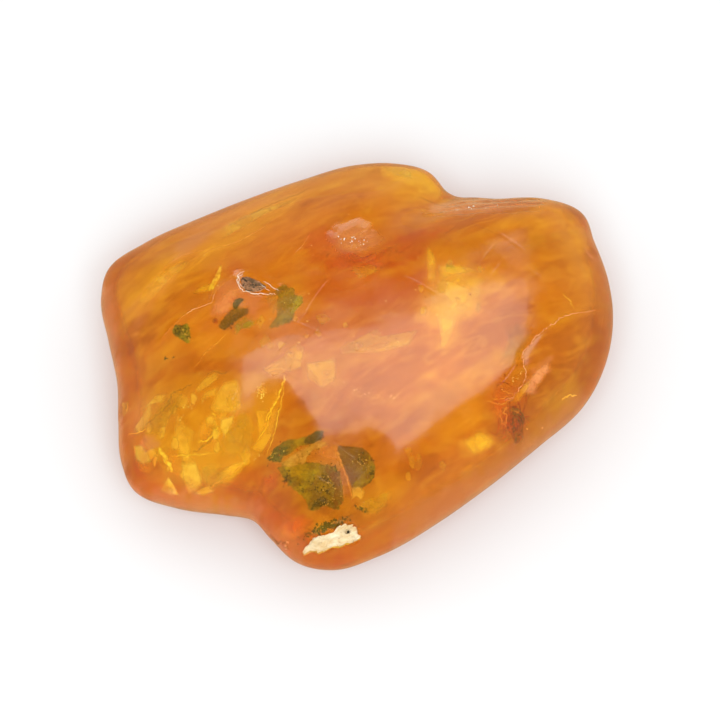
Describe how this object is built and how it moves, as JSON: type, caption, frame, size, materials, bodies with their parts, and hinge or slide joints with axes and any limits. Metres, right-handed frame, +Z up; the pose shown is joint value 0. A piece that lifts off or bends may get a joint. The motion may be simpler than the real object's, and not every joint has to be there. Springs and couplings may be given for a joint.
{
  "type": "amber nugget with plant inclusions",
  "caption": "Low domed, tumble-polished nugget of clear orange amber with leaf, moss and bark scraps sealed inside, resting on a flat underside.",
  "frame": {"origin": "middle of the footprint at the flat underside", "axes": "+X along the nugget's length, +Y to the back as the picture shows it, +Z up"},
  "size_m": [0.0482, 0.0433, 0.0153],
  "materials": {
    "clear_amber": "clear orange fossil resin, hand polished to a soft gloss, cloudy in bands",
    "leaf_scrap": "dry, brown green, mottled leaf tissue",
    "moss": "dry green speckled moss",
    "dark_bark": "dull dark bark",
    "red_bark": "dull red brown fibrous bark",
    "cream_crust": "rough matt cream crust, like chalk"
  },
  "bodies": {
    "root": {"amber_upper": "clear_amber", "amber_lower": "clear_amber", "leaf_scrap_large": "leaf_scrap", "leaf_scrap_wing": "leaf_scrap", "leaf_scrap_round": "leaf_scrap", "leaf_scrap_olive": "leaf_scrap", "moss_flake": "moss", "bark_blade": "dark_bark", "bark_comma": "dark_bark", "bark_crumb": "dark_bark", "bark_knot": "red_bark", "bark_sliver": "dark_bark", "chalk_crust": "cream_crust"}
  },
  "joints": []
}
